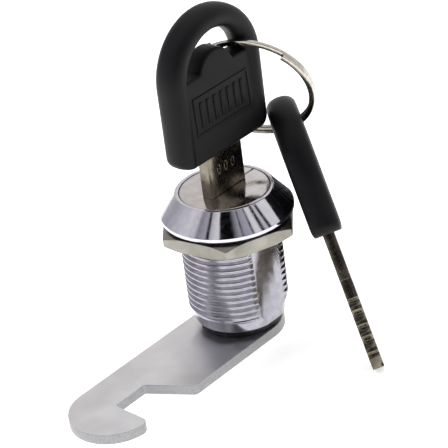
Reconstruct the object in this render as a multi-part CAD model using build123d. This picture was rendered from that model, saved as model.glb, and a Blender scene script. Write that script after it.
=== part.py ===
from build123d import *
import os
from math import cos, radians, sin, sqrt

# A wafer cam lock with two keys on a split ring, in millimetres.
# Origin: on the lock's axis, at the underside of the bezel, where the panel's front face comes.
# +Z runs along the axis towards the key, and the cam points along -X.

# ---- housing: bezel and barrel, one zinc casting ----
BEZEL_R = 12.46          # outer radius of the bezel
BEZEL_BAND = 0.75        # straight band at the bezel's foot
RIM_R = 9.25             # top of the bezel's cone
RIM_TOP = 4.65           # height of the rim above the panel
SEAT_R = 8.55            # counterbore that the plug's face sits in
SEAT_Z = 2.40
BORE_R = 6.90
THREAD_R = 9.50          # M19 crest
THREAD_DEPTH = 0.60
THREAD_PITCH = 1.27
THREAD_CREST = 0.36      # width of the crest's flat
THREAD_ROOT = 0.26
THREAD_TOP = -0.70
COLLAR_R = 8.60          # plain collar below the thread
COLLAR_H = 2.10
COLLAR_EDGE = 0.30
BARREL_LEN = 21.60
FLAT_Y = 8.22            # half width across the two flats, at their parting line
FLAT_DRAFT = 0.015       # fall of each half of a flat, per mm from the parting line
CHANNEL_R = 7.50         # the wafers' channels in the bore
CHANNEL_HALF = 3.05
CHANNEL_TOP = 1.30
EDGE = 0.10              # edge break on the bezel's rims

# ---- quarter-turn stop ----
LUG_MID = 45.0           # angle of the housing's stop lug about +Z
LUG_HALF = 10.0
LUG_H = 1.05
LUG_GAP = 0.15           # between the lug and the notch's floor
LUG_R = (7.10, 8.20)     # inner and outer radius
TURN = 90.0              # degrees that the plug turns
STOP_PLAY = 0.8          # degrees left between lug and washer at each end
WASHER_R = 7.80
WASHER_T = 1.35
WASHER_GAP = 0.02        # below the plug's end

# ---- mounting nut ----
NUT_AF = 23.70
NUT_T = 2.62
NUT_TOP = -0.83
NUT_CORNER = -141.3      # angle of one corner about +Z
NUT_BORE = 9.58
NUT_CHAMFER_R = 12.35    # where the corners' chamfer starts on each face
NUT_LEAD = 0.35          # lead-in at each end of the bore

# ---- plug ----
PLUG_R = 6.85
FACE_R = 8.42
FACE_Z = 4.60
FACE_UNDER = 2.45
FACE_EDGE = 0.20
PLUG_END = -21.70
TAIL_SQ = 7.00
TAIL_END = -24.90
KEYWAY = (8.30, 2.50)
KEYWAY_END = -13.40
INDEX_W = 0.45           # index line across the face
INDEX_DEPTH = 0.30

# ---- wafers ----
WAFER_COUNT = 5
WAFER_FIRST = 4.40       # depth of the first wafer below the plug's face
WAFER_PITCH = 2.60
WAFER = (12.20, 5.80, 1.50)       # length, width and thickness
WAFER_WINDOW = (9.70, 2.60)
WAFER_SLOT_T = 1.60
WAFER_SLOT_HALF = 2.95
EAR = (1.00, 1.70)       # width and height of the ear that the spring pushes on
POCKET = (-3.40, 1.40, 4.90)      # ends of the spring's pocket along the wafer, and its depth
COIL_R = 0.50
COIL_WIRE_R = 0.13
COIL_LEN = 2.45
COIL_PITCH = 0.55
COIL_GAP = 0.03          # from the coil's end to the ear

# ---- hook cam ----
CAM_TOP = -23.09
CAM_T = 2.00
CAM_HALF = 8.20          # half width and rear radius
CAM_NOSE_X = -35.90
CAM_NOSE_R = 8.10
CAM_SQ = 7.15
CAM_EDGE = 0.20
NOTCH_Y = 0.30           # bottom of the hook's notch
NOTCH_X = (-22.60, -26.95, -34.95)  # front of the sloping side, its foot, and the hook's side
HOOK_TIP = (-35.20, -6.90)
HOOK_ROUND = ((-0.45, -0.85), (-1.30, -1.18))  # middle and end of the tip's round, from the tip

# ---- cam screw and its washer ----
SCREW_R = 2.45
SCREW_HOLE_R = 2.50
SCREW_TOP = -16.50
LOCK_WASHER = (2.70, 4.90, 0.60)  # inner radius, outer radius and thickness
LOCK_TEETH = 12
LOCK_GAP = (0.80, 0.35)           # depth and half width of the gaps between its teeth
SCREW_HEAD = (4.50, 2.50, 1.50)   # radius, height and edge round
CROSS = (5.20, 1.10, 1.40)        # length, width and depth of each arm
CROSS_TURN = 30.0

# ---- key ----
BLADE_T = 2.20
BLADE_HALF = 4.00        # half width of the part that goes in
SHANK_HALF = 4.75        # half width between shoulder and head
SHOULDER_Z = FACE_Z + 0.03
BLADE_IN = 17.60
TIP_LEN = 2.40
TIP_HALF = 1.60
CUT_DEPTHS = (0.50, 0.85, 0.60, 0.95, 0.45)   # one cut for each wafer
CUT_FLOOR = 0.50
GROOVE = (1.50, 0.45, 1.70)       # width, depth, offset from the middle
TANG_HALF = 3.60         # the tang is hidden in the head
TANG_STEPS = (2.00, 3.00)  # heights above the head's foot where the shank narrows to the tang
TANG_TOP = 24.00
MARK = (0.55, 1.05, 0.28, 0.12)   # half width, half height, line, depth
MARK_PITCH = 1.90
MARK_Z = 9.60
HEAD_BOTTOM = 13.50
HEAD_MID = 28.60         # centre of the head's arch
HEAD_R = 9.89            # middle line of the rim
RIM_HALF = (2.23, 2.85)  # the rim's half width and half thickness
PANEL_HALF = 2.10
HEAD_CORNER = 2.00
HUMP = (28.30, 4.60)     # centre height and radius of the panel's rounded top
HUMP_FOOT = 29.60
HUMP_ROUND = 0.70
GRIP = (15.00, 7.40, 22.50)       # width, height and middle height of the grip frame
GRIP_LINE = 0.35
GRIP_RAISE = 0.16
GRIP_BARS = 7
GRIP_BAR = (0.90, 4.80)
GRIP_PITCH = 1.83
GRIP_ROOT = 0.30         # how deep the pattern starts inside the panel

# ---- split ring ----
RING_MID = (10.20, -0.29, 20.75)
RING_AXIS = (0.857, 0.382, 0.347)
RING_R = 11.43
RING_END_AT = (10.27, -8.54, 28.66)  # the wire starts in this direction from the ring's middle
STRAND = (1.10, 0.74)    # across and along the ring's axis
STRAND_PITCH = 0.80
RING_TURNS = 1.80        # the far end of the wire stops behind the first key

# ---- hanging key's place ----
KEY_2_AT = (9.00, -19.70, -19.20)
KEY_2_SIDE = (-0.6708, -0.5583, 0.4883)
KEY_2_UP = (0.1965, 0.5010, 0.8428)
KEY_2_OFF = 0.75         # how far the hanging key stands off the lock


def block(x0, x1, y0, y1, z0, z1):
    """A box between two corners."""
    size = (x1 - x0, y1 - y0, z1 - z0)
    return Pos((x0 + x1) / 2, (y0 + y1) / 2, (z0 + z1) / 2) * Box(*size)


def disc(radius, z0, z1):
    return Pos(0, 0, (z0 + z1) / 2) * Cylinder(radius, z1 - z0)


def turned(points):
    """A solid of revolution about Z from (radius, height) points."""
    return revolve(Plane.XZ * make_face(Polyline(*points, close=True)), Axis.Z)


def sector(r0, r1, a0, a1, z0, z1):
    """A piece of a ring between two angles about Z."""
    mid, half = radians((a0 + a1) / 2), radians((a1 - a0) / 2)
    far = 1.05 * r1 / cos(half)
    corners = [(0, 0)] + [(far * cos(mid + s * half), far * sin(mid + s * half)) for s in (-1, 1)]
    wedge = extrude(make_face(Polyline(*corners, close=True)), z1 - z0)
    return (disc(r1, z0, z1) - disc(r0, z0 - 1, z1 + 1)) & Pos(0, 0, z0) * wedge


def thread_points():
    """Thread form from the collar up to the bezel, as (radius, height) points."""
    flank = (THREAD_PITCH - THREAD_CREST - THREAD_ROOT) / 2
    bottom = COLLAR_H - BARREL_LEN
    turns = int((THREAD_TOP - bottom) / THREAD_PITCH)
    root = THREAD_R - THREAD_DEPTH
    points = [(root, bottom)]
    for turn in range(turns):
        z = bottom + turn * THREAD_PITCH
        points += [
            (root, z + THREAD_ROOT),
            (THREAD_R, z + THREAD_ROOT + flank),
            (THREAD_R, z + THREAD_ROOT + flank + THREAD_CREST),
            (root, z + THREAD_PITCH),
        ]
    return points


def housing():
    end = -BARREL_LEN
    outline = [
        (BORE_R, end), (COLLAR_R - COLLAR_EDGE, end), (COLLAR_R, end + COLLAR_EDGE),
        (COLLAR_R, end + COLLAR_H),
    ]
    outline += thread_points()
    outline += [
        (THREAD_R - THREAD_DEPTH, 0), (BEZEL_R - EDGE, 0), (BEZEL_R, EDGE), (BEZEL_R, BEZEL_BAND),
        (RIM_R, RIM_TOP - EDGE), (RIM_R - EDGE, RIM_TOP), (SEAT_R + EDGE, RIM_TOP), (SEAT_R, RIM_TOP - EDGE),
        (SEAT_R, SEAT_Z), (BORE_R, SEAT_Z),
    ]
    body = turned(outline)
    wide = BEZEL_R + 3
    side = [(-wide, FLAT_Y - wide * FLAT_DRAFT), (0, FLAT_Y), (wide, FLAT_Y - wide * FLAT_DRAFT),
            (wide, wide), (-wide, wide)]
    flat = Pos(0, 0, end - 1) * extrude(make_face(Polyline(*side, close=True)), BARREL_LEN + 1)
    body = body - flat - Rot(0, 0, 180) * flat
    body -= block(-CHANNEL_R, CHANNEL_R, -CHANNEL_HALF, CHANNEL_HALF, end - 1, CHANNEL_TOP)
    body -= block(-CHANNEL_HALF, CHANNEL_HALF, -CHANNEL_R, CHANNEL_R, end - 1, CHANNEL_TOP)
    lug = sector(*LUG_R, LUG_MID - LUG_HALF, LUG_MID + LUG_HALF, end - LUG_H, end + 0.5)
    return body + lug


def mounting_nut():
    corner_r = NUT_AF / sqrt(3)
    bottom = NUT_TOP - NUT_T
    hexagon = extrude(RegularPolygon(corner_r, 6), NUT_T)
    nut = Pos(0, 0, bottom) * Rot(0, 0, NUT_CORNER) * hexagon
    drop = (corner_r - NUT_CHAMFER_R) * 0.5
    rounded = turned([
        (0, bottom), (NUT_CHAMFER_R, bottom), (corner_r, bottom + drop),
        (corner_r, NUT_TOP - drop), (NUT_CHAMFER_R, NUT_TOP), (0, NUT_TOP),
    ])
    bore = turned([
        (0, bottom - 1), (NUT_BORE + NUT_LEAD + 1, bottom - 1), (NUT_BORE, bottom + NUT_LEAD),
        (NUT_BORE, NUT_TOP - NUT_LEAD), (NUT_BORE + NUT_LEAD + 1, NUT_TOP + 1), (0, NUT_TOP + 1),
    ])
    return (nut & rounded) - bore


def wafer_heights():
    return [FACE_Z - WAFER_FIRST - i * WAFER_PITCH for i in range(WAFER_COUNT)]


def wafer_side(index):
    """Wafers point to +X and -X by turns."""
    return 1 if index % 2 == 0 else -1


def plug():
    body = turned([
        (0, FACE_Z), (FACE_R - FACE_EDGE, FACE_Z), (FACE_R, FACE_Z - FACE_EDGE), (FACE_R, FACE_UNDER),
        (PLUG_R, FACE_UNDER), (PLUG_R, PLUG_END), (0, PLUG_END),
    ])
    half = TAIL_SQ / 2
    body += block(-half, half, -half, half, TAIL_END, PLUG_END)
    body -= disc(SCREW_HOLE_R, TAIL_END - 1, SCREW_TOP + 0.5)
    body -= block(-KEYWAY[0] / 2, KEYWAY[0] / 2, -KEYWAY[1] / 2, KEYWAY[1] / 2, KEYWAY_END, FACE_Z + 1)
    body -= block(0, FACE_R + 1, -INDEX_W / 2, INDEX_W / 2, FACE_Z - INDEX_DEPTH, FACE_Z + 1)
    for index, z in enumerate(wafer_heights()):
        z0, z1 = z - WAFER_SLOT_T / 2, z + WAFER_SLOT_T / 2
        body -= block(-FACE_R, FACE_R, -WAFER_SLOT_HALF, WAFER_SLOT_HALF, z0, z1)
        pocket = block(POCKET[0], POCKET[1], 0, POCKET[2], z0, z1)
        body -= pocket if wafer_side(index) > 0 else mirror(pocket, Plane.YZ)
    return body


def wafer(z):
    long, wide, thick = WAFER
    plate = block(-long / 2, long / 2, -wide / 2, wide / 2, z - thick / 2, z + thick / 2)
    plate += block(-EAR[0] / 2, EAR[0] / 2, wide / 2 - 0.5, wide / 2 + EAR[1], z - thick / 2, z + thick / 2)
    window = block(-WAFER_WINDOW[0] / 2, WAFER_WINDOW[0] / 2, -WAFER_WINDOW[1] / 2, WAFER_WINDOW[1] / 2,
                   z - thick, z + thick)
    return plate - window


def wafer_spring(index, z):
    """Coil spring between the pocket's end and the wafer's ear."""
    start = -EAR[0] / 2 - COIL_WIRE_R - COIL_LEN - COIL_GAP
    path = Helix(pitch=COIL_PITCH, height=COIL_LEN, radius=COIL_R)
    section = Plane(origin=path @ 0, z_dir=path % 0) * Circle(COIL_WIRE_R)
    coil = sweep(section, path=path, is_frenet=True)
    coil = Pos(start, (WAFER_SLOT_HALF + POCKET[2]) / 2, z) * Rot(0, 90, 0) * coil
    return coil if wafer_side(index) > 0 else mirror(coil, Plane.YZ)


def stop_washer():
    top = PLUG_END - WASHER_GAP
    half = CAM_SQ / 2
    body = disc(WASHER_R, top - WASHER_T, top)
    body -= block(-half, half, -half, half, top - 3, top + 1)
    first = LUG_MID - LUG_HALF - STOP_PLAY
    last = LUG_MID + LUG_HALF + STOP_PLAY + TURN
    middle = (first + last) / 2
    for a0, a1 in ((first, middle), (middle - 1, last)):
        body -= sector(LUG_R[0] - LUG_GAP, WASHER_R + 1, a0, a1, top - 3, top + 1)
    return body


def hook_cam():
    nose = CAM_NOSE_R
    heel_x, slope_x, hook_x = NOTCH_X
    tip_round = [(HOOK_TIP[0] + dx, HOOK_TIP[1] + dy) for dx, dy in HOOK_ROUND]
    outline = [
        ThreePointArc((0, CAM_HALF), (CAM_HALF, 0), (0, -CAM_HALF)),
        Polyline((0, -CAM_HALF), (heel_x, -CAM_HALF), (slope_x, NOTCH_Y), (hook_x, NOTCH_Y), HOOK_TIP),
        ThreePointArc(HOOK_TIP, *tip_round),
        ThreePointArc(tip_round[1], (CAM_NOSE_X - nose, 0), (CAM_NOSE_X, nose)),
        Line((CAM_NOSE_X, nose), (0, CAM_HALF)),
    ]
    plate = Pos(0, 0, CAM_TOP - CAM_T) * extrude(make_face(outline), CAM_T)
    rims = plate.faces().filter_by(Axis.Z).edges()
    plate = chamfer(rims, CAM_EDGE)
    half = CAM_SQ / 2
    return plate - block(-half, half, -half, half, CAM_TOP - CAM_T - 1, CAM_TOP + 1)


def lock_washer():
    top = CAM_TOP - CAM_T
    inner, outer, thick = LOCK_WASHER
    body = disc(outer, top - thick, top) - disc(inner, top - thick - 1, top + 1)
    deep, half = LOCK_GAP
    gap = block(outer - deep, outer + 1, -half, half, top - thick - 1, top + 1)
    for tooth in range(LOCK_TEETH):
        body -= Rot(0, 0, tooth * 360 / LOCK_TEETH) * gap
    return body


def cam_screw():
    radius, height, edge = SCREW_HEAD
    top = CAM_TOP - CAM_T - LOCK_WASHER[2]
    head = disc(radius, top - height, top)
    head = fillet(head.edges().filter_by(GeomType.CIRCLE).sort_by(Axis.Z)[0], edge)
    long, wide, deep = CROSS
    for turn in (0, 90):
        arm = block(-long / 2, long / 2, -wide / 2, wide / 2, top - height - 1, top - height + deep)
        head -= Rot(0, 0, turn + CROSS_TURN) * arm
    return head + disc(SCREW_R, top - 0.5, SCREW_TOP)


def key_blade():
    """The flat metal key, cut on both edges, up to the tang inside the head."""
    tip = SHOULDER_Z - BLADE_IN
    outline = [
        (TIP_HALF, tip), (BLADE_HALF, tip + TIP_LEN), (BLADE_HALF, SHOULDER_Z), (SHANK_HALF, SHOULDER_Z),
        (SHANK_HALF, HEAD_BOTTOM + TANG_STEPS[0]), (TANG_HALF, HEAD_BOTTOM + TANG_STEPS[1]),
        (TANG_HALF, TANG_TOP),
    ]
    outline += [(-x, z) for x, z in reversed(outline)]
    face = Plane.XZ * make_face(Polyline(*outline, close=True))
    blade = extrude(face, BLADE_T / 2, both=True)
    for z, depth in zip(wafer_heights(), CUT_DEPTHS):
        floor, mouth = CUT_FLOOR / 2, CUT_FLOOR / 2 + depth
        notch = [(BLADE_HALF - depth, z - floor), (BLADE_HALF + 0.2, z - mouth - 0.2),
                 (BLADE_HALF + 0.2, z + mouth + 0.2), (BLADE_HALF - depth, z + floor)]
        cut = extrude(Plane.XZ * make_face(Polyline(*notch, close=True)), BLADE_T, both=True)
        blade = blade - cut - mirror(cut, Plane.YZ)
    width, deep, offset = GROOVE
    groove = block(offset - width / 2, offset + width / 2, BLADE_T / 2 - deep, BLADE_T, tip - 1, SHOULDER_Z)
    blade = blade - groove - Rot(0, 0, 180) * groove
    half_w, half_h, line, deep = MARK
    for column in (-1, 0, 1):
        ring = Ellipse(half_w, half_h) - Ellipse(half_w - line, half_h - line)
        mark = Pos(column * MARK_PITCH, -BLADE_T / 2 - 1 + deep, MARK_Z) * Rot(90, 0, 0) * extrude(ring, -1)
        blade = blade - mark - Rot(0, 0, 180) * mark
    return blade


def grip_pattern():
    """Raised frame and bars on one face of the head."""
    width, height, middle = GRIP
    pattern = Rectangle(width, height) - Rectangle(width - 2 * GRIP_LINE, height - 2 * GRIP_LINE)
    for bar in range(GRIP_BARS):
        pattern += Pos((bar - (GRIP_BARS - 1) / 2) * GRIP_PITCH, 0) * Rectangle(*GRIP_BAR)
    face = Plane(origin=(0, -PANEL_HALF + GRIP_ROOT, middle), x_dir=(1, 0, 0), z_dir=(0, -1, 0)) * pattern
    return extrude(face, GRIP_ROOT + GRIP_RAISE)


def key_head(blade):
    """Moulded head: a fat rim bent over as an arch, with a thinner panel inside it."""
    foot = HEAD_BOTTOM
    leg = Pos(HEAD_R, 0, foot) * extrude(Ellipse(*RIM_HALF), HEAD_MID - foot)
    section = Plane.XY * Pos(HEAD_R, 0) * Ellipse(*RIM_HALF)
    arch = Pos(0, 0, HEAD_MID) * revolve(section, Axis((0, 0, 0), (0, -1, 0)), 180)
    head = arch + leg + mirror(leg, Plane.YZ)
    centre, radius = HUMP
    edge_x = sqrt(radius ** 2 - (HUMP_FOOT - centre) ** 2)
    outline = [
        Polyline((-edge_x, HUMP_FOOT), (-HEAD_R, HUMP_FOOT), (-HEAD_R, foot), (HEAD_R, foot),
                 (HEAD_R, HUMP_FOOT), (edge_x, HUMP_FOOT)),
        ThreePointArc((edge_x, HUMP_FOOT), (0, centre + radius), (-edge_x, HUMP_FOOT)),
    ]
    panel = extrude(Plane.XZ * make_face(outline), PANEL_HALF, both=True)
    head += fillet(panel.edges().filter_by(GeomType.CIRCLE), HUMP_ROUND)
    half = HEAD_R + RIM_HALF[0]
    trim = block(-half, half, -half, half, foot, HEAD_MID + half)
    low = trim.edges().filter_by(Axis.Y).sort_by(Axis.Z)[:2]
    head = head & fillet(low, HEAD_CORNER)
    raised = grip_pattern()
    head = head + raised + Rot(0, 0, 180) * raised
    return head - blade


def split_ring():
    """Flat wire wound left-handed, with its ends on opposite sides."""
    height = STRAND_PITCH * RING_TURNS
    path = Helix(pitch=STRAND_PITCH, height=height, radius=RING_R, lefthand=True)
    section = Plane(origin=(RING_R, 0, 0), x_dir=(1, 0, 0), z_dir=(0, 1, 0)) * Rectangle(*STRAND)
    coil = Pos(0, 0, -height / 2) * sweep(section, path=path, is_frenet=True)
    towards = Vector(*RING_END_AT) - Vector(*RING_MID)
    return Plane(origin=RING_MID, x_dir=towards, z_dir=RING_AXIS).location * coil


def main():
    os.makedirs("parts", exist_ok=True)
    blade = key_blade()
    head = key_head(blade)
    hanging = Plane(origin=KEY_2_AT, x_dir=KEY_2_SIDE, z_dir=KEY_2_UP).location * Pos(0, KEY_2_OFF, 0)
    nodes = {
        "housing": housing(),
        "mounting_nut": mounting_nut(),
        "plug": plug(),
        "stop_washer": stop_washer(),
        "hook_cam": hook_cam(),
        "lock_washer": lock_washer(),
        "cam_screw": cam_screw(),
        "key_1_blade": blade,
        "key_1_head": head,
        "key_2_blade": hanging * blade,
        "key_2_head": hanging * head,
        "split_ring": split_ring(),
    }
    for index, z in enumerate(wafer_heights()):
        nodes[f"wafer_{index + 1}"] = wafer(z)
        nodes[f"wafer_spring_{index + 1}"] = wafer_spring(index, z)
    for name, solid in nodes.items():
        export_step(solid, f"parts/{name}.step")


main()
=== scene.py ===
from math import acos, atan2, cos, degrees, pi, radians, sin, sqrt

import bmesh
import bpy
from mathutils import Matrix, Vector


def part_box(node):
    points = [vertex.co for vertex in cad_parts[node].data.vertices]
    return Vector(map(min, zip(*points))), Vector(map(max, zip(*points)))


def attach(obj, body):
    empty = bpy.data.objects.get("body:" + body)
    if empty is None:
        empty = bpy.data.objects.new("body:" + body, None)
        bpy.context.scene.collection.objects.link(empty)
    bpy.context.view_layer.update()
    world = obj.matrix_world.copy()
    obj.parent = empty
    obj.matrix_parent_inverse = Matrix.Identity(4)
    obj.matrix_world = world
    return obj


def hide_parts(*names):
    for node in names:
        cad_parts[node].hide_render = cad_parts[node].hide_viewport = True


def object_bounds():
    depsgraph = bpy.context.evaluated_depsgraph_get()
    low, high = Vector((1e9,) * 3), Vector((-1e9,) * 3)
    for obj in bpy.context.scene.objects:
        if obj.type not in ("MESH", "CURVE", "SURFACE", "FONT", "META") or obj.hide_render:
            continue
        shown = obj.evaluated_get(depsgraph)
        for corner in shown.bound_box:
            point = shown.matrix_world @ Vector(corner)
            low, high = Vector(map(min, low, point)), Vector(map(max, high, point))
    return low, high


# A wafer cam lock with two keys on a split ring. Sizes are in millimetres, and MM turns them to metres.
# +Z runs along the lock's axis towards the key, and the panel's front face comes at Z = 0.

MM = 0.001
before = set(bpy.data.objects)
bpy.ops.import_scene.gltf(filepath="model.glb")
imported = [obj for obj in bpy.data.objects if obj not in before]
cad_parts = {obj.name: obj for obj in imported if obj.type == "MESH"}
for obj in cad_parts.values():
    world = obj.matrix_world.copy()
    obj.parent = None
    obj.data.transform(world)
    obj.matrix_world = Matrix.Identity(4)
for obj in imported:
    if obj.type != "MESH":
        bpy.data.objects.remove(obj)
cad_low, cad_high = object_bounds()


def size_of(part):
    """Lowest and highest corner of a CAD node, in millimetres."""
    low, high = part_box(part)
    return low / MM, high / MM


housing_low, housing_high = size_of("housing")
nut_low, nut_high = size_of("mounting_nut")
plug_low, plug_high = size_of("plug")
cam_low, cam_high = size_of("hook_cam")
washer_low, washer_high = size_of("stop_washer")
toothed_low, toothed_high = size_of("lock_washer")
screw_low, screw_high = size_of("cam_screw")
head_low = size_of("key_1_head")[0]
blade_low, blade_high = size_of("key_1_blade")

# ---- housing ----
BEZEL_R = housing_high.x
BEZEL_BAND = 0.75
RIM_R = 9.25
RIM_TOP = housing_high.z
SEAT_R = 8.55
SEAT_Z = 2.40
BORE_R = 6.90
THREAD_R = 9.50
THREAD_DEPTH = 0.60
THREAD_PITCH = 1.27
THREAD_TOP = -0.70
COLLAR_R = 8.60
COLLAR_H = 2.10
BARREL_END = -21.60
FLAT_Y = 8.22
FLAT_DRAFT = 0.015
CHANNEL_R = 7.50
CHANNEL_HALF = 3.05
CHANNEL_TOP = 1.30
LUG_MID = 45.0
LUG_HALF = 10.0
LUG_R = (7.10, 8.20)     # inner and outer radius
LUG_GAP = 0.15
AROUND = 192             # steps round a turned surface
MERGE = 0.002            # points closer than this are one
SLIVER = 0.0005          # edges shorter than this go

# ---- nut ----
NUT_AF = 23.70
NUT_CORNER = -141.3
NUT_BORE = 9.58
NUT_CHAMFER_R = 12.35

# ---- plug ----
PLUG_R = 6.85
FACE_R = 8.42
FACE_UNDER = 2.45
PLUG_END = -21.70
TAIL_HALF = 3.50
KEYWAY = (8.30, 2.50, -13.40)      # length, width and the height of its floor
INDEX = (0.45, 0.30)     # width and depth of the index line
WAFERS = 5
WAFER_SLOT = (2.95, 0.80)          # half width and half height of each slot
WAFER_POCKET = (-3.40, 1.40, 4.90)  # ends of the spring's pocket along the wafer, and its depth

# ---- cam, washers and screw ----
CAM_HALF = 8.20
CAM_NOSE_R = 8.10
CAM_NOSE_X = -35.90
CAM_SQ_HALF = 3.575
CAM_EDGE = 0.20          # round on the edges of both faces
HEEL_ROUND = 0.90
NOTCH_ROUND = 0.70
NOTCH_Y = 0.30
NOTCH_X = (-22.60, -26.95, -34.95)  # heel of the notch, top of its slope, and its far wall
HOOK_TIP = (-35.20, -6.90)
TIP_ROUND = ((0.12, -7.42), (0.45, -7.75), (0.85, -7.97), (1.30, -8.08))  # back from the tip, and Y
WASHER_R = 7.80
TURN = 90.0
STOP_PLAY = 0.8
TOOTHED = (2.70, 4.90, 12)         # inner and outer radius, and teeth
SCREW_HEAD = (4.50, 2.50)          # radius and height
CROSS = (5.20, 1.10, 1.40, 30.0)   # length, width, depth and turn of the recess

# ---- keys ----
BLADE_T = 2.20
BLADE_HALF = 4.00
SHANK_HALF = 4.75
SHOULDER_Z = plug_high.z + 0.03
TIP = (1.60, 2.40)       # half width and height of the taper
CUT_FIRST = 0.20
CUT_PITCH = 2.60
CUT_DEPTHS = (0.50, 0.85, 0.60, 0.95, 0.45)
CUT_FLOOR = 0.50
GROOVE = (1.50, 0.45, 1.70)        # width, depth and distance from the middle
MARK = (0.55, 1.05, 0.28, 0.14)    # half width, half height, line width and depth
MARK_PITCH = 1.90
MARK_Z = 9.60
FOOT = head_low.z
HEAD_MID = 28.60
HEAD_R = 9.89
RIM_HALF = (2.23, 2.85)  # half width and half thickness
RIM_POWER = 2.25         # 2 is an ellipse, and more is squarer
HEAD_CORNER = 2.00
PANEL_HALF = (2.70, 1.95)          # half thickness at the foot and at the hump
HUMP = (28.30, 4.60, 29.60)        # centre height, radius and the height where it starts
GRIP = (15.00, 7.40, 22.50)        # width, height and middle height
GRIP_LINE = 0.40
GRIP_RAISE = 0.18
GRIP_BARS = 7
GRIP_BAR = (0.90, 4.80, 1.83)      # width, height and pitch

KEY_2_AT = Vector((9.00, -19.70, -19.20))
KEY_2_SIDE = Vector((-0.6708, -0.5583, 0.4883)).normalized()
KEY_2_UP = Vector((0.1965, 0.5010, 0.8428)).normalized()
KEY_2_OFF = 0.75         # how far the second key stands off the first

# ---- split ring ----
RING_MID = Vector((10.20, -0.29, 20.75))
RING_AXIS = Vector((0.857, 0.382, 0.347)).normalized()
RING_END_AT = Vector((10.27, -8.54, 28.66))
RING_R = 11.43
STRAND = (1.10, 0.74)    # across the wire, and along the ring's axis
STRAND_PITCH = 0.80
RING_TURNS = 1.80


# ================= meshes =================

def link(name, data):
    """A new object in the scene, at the origin."""
    made = bpy.data.objects.new(name, data)
    bpy.context.scene.collection.objects.link(made)
    return made


def solid(name, points, faces):
    """A mesh object from points in millimetres, with its doubles merged and its faces turned outwards."""
    mesh = bpy.data.meshes.new(name)
    mesh.from_pydata([Vector(p) * MM for p in points], [], faces)
    made = link(name, mesh)
    clean(made)
    return made


def clean(piece, sharp=None):
    """Merges doubles and turns faces outwards. Given sharp, edges over that angle stay crisp."""
    edit = bmesh.new()
    edit.from_mesh(piece.data)
    bmesh.ops.remove_doubles(edit, verts=edit.verts, dist=MERGE * MM)
    bmesh.ops.dissolve_degenerate(edit, edges=edit.edges, dist=SLIVER * MM)
    bmesh.ops.recalc_face_normals(edit, faces=edit.faces)
    if sharp is not None:
        for face in edit.faces:
            face.smooth = True
        for edge in edit.edges:
            edge.smooth = len(edge.link_faces) == 2 and edge.calc_face_angle() < radians(sharp)
    edit.to_mesh(piece.data)
    edit.free()
    return piece


def plain(piece):
    """The piece as a plain mesh object, with its curve or its modifiers worked out."""
    bpy.context.view_layer.update()
    graph = bpy.context.evaluated_depsgraph_get()
    mesh = bpy.data.meshes.new_from_object(piece.evaluated_get(graph))
    name = piece.name
    bpy.data.objects.remove(piece)
    made = link(name, mesh)
    made.name = name
    return made


def with_tools(piece, how, *tools):
    """Cuts the tools from the piece, or joins them to it, and removes them."""
    for tool in tools:
        step = piece.modifiers.new("tool", "BOOLEAN")
        step.operation = how
        step.solver = "EXACT"
        step.object = tool
    made = plain(piece)
    for tool in tools:
        bpy.data.objects.remove(tool)
    return made


def rounded(piece, width, angle=30.0, segments=3):
    """Rounds the piece's crisp edges."""
    step = piece.modifiers.new("edge round", "BEVEL")
    step.width = width * MM
    step.segments = segments
    step.limit_method = "ANGLE"
    step.angle_limit = radians(angle)
    step.use_clamp_overlap = True
    return plain(piece)


def mark_faces(piece, name, test):
    """Marks the faces that pass a test, so that a finish can tell them apart."""
    marked = piece.data.attributes.new(name, "FLOAT", "FACE")
    for face in piece.data.polygons:
        marked.data[face.index].value = 1.0 if test(face) else 0.0


def placed(piece, matrix):
    """Moves the piece's mesh, so that its object stays at the origin."""
    piece.data.transform(matrix)
    return piece


def shift(x=0.0, y=0.0, z=0.0):
    return Matrix.Translation(Vector((x, y, z)) * MM)


def about_z(angle):
    return Matrix.Rotation(radians(angle), 4, "Z")


def block(x0, x1, y0, y1, z0, z1):
    corners = [(x, y, z) for x in (x0, x1) for y in (y0, y1) for z in (z0, z1)]
    faces = [(0, 1, 3, 2), (4, 6, 7, 5), (0, 4, 5, 1), (2, 3, 7, 6), (0, 2, 6, 4), (1, 5, 7, 3)]
    return solid("tool", corners, faces)


def arc(centre, radius, start, end, steps):
    """Points on an arc, from one angle to another."""
    angles = [radians(start + (end - start) * i / steps) for i in range(steps + 1)]
    return [(centre[0] + radius * cos(a), centre[1] + radius * sin(a)) for a in angles]


def prism(name, outline, z0, z1):
    """An upright prism on a closed outline."""
    count = len(outline)
    points = [(x, y, z) for z in (z0, z1) for x, y in outline]
    faces = [tuple(reversed(range(count))), tuple(range(count, 2 * count))]
    for i in range(count):
        j = (i + 1) % count
        faces.append((i, j, count + j, count + i))
    return solid(name, points, faces)


def turned(name, outline, around=AROUND):
    """A closed surface of revolution about Z from (radius, height) points, round the outline once."""
    count = len(outline)
    points = []
    for i in range(around):
        a = 2 * pi * i / around
        points += [(r * cos(a), r * sin(a), z) for r, z in outline]
    faces = []
    for i in range(around):
        here, there = i * count, (i + 1) % around * count
        for j in range(count):
            k = (j + 1) % count
            faces.append((here + j, there + j, there + k, here + k))
    return solid(name, points, faces)


def corner(at, radius, start, end):
    """A small round on a turned outline: its centre, its radius and the angles it runs between."""
    return arc(at, radius, start, end, 4)


# ================= housing =================

def thread_form():
    """One turn of the thread, as (share of the pitch, share of the depth), with soft crest and root."""
    steps = 12
    form = []
    for i in range(steps):
        share = i / steps
        wave = 0.5 - 0.5 * cos(2 * pi * share)
        form.append((share, min(1.0, max(0.0, 1.35 * wave - 0.17))))
    return form


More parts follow.
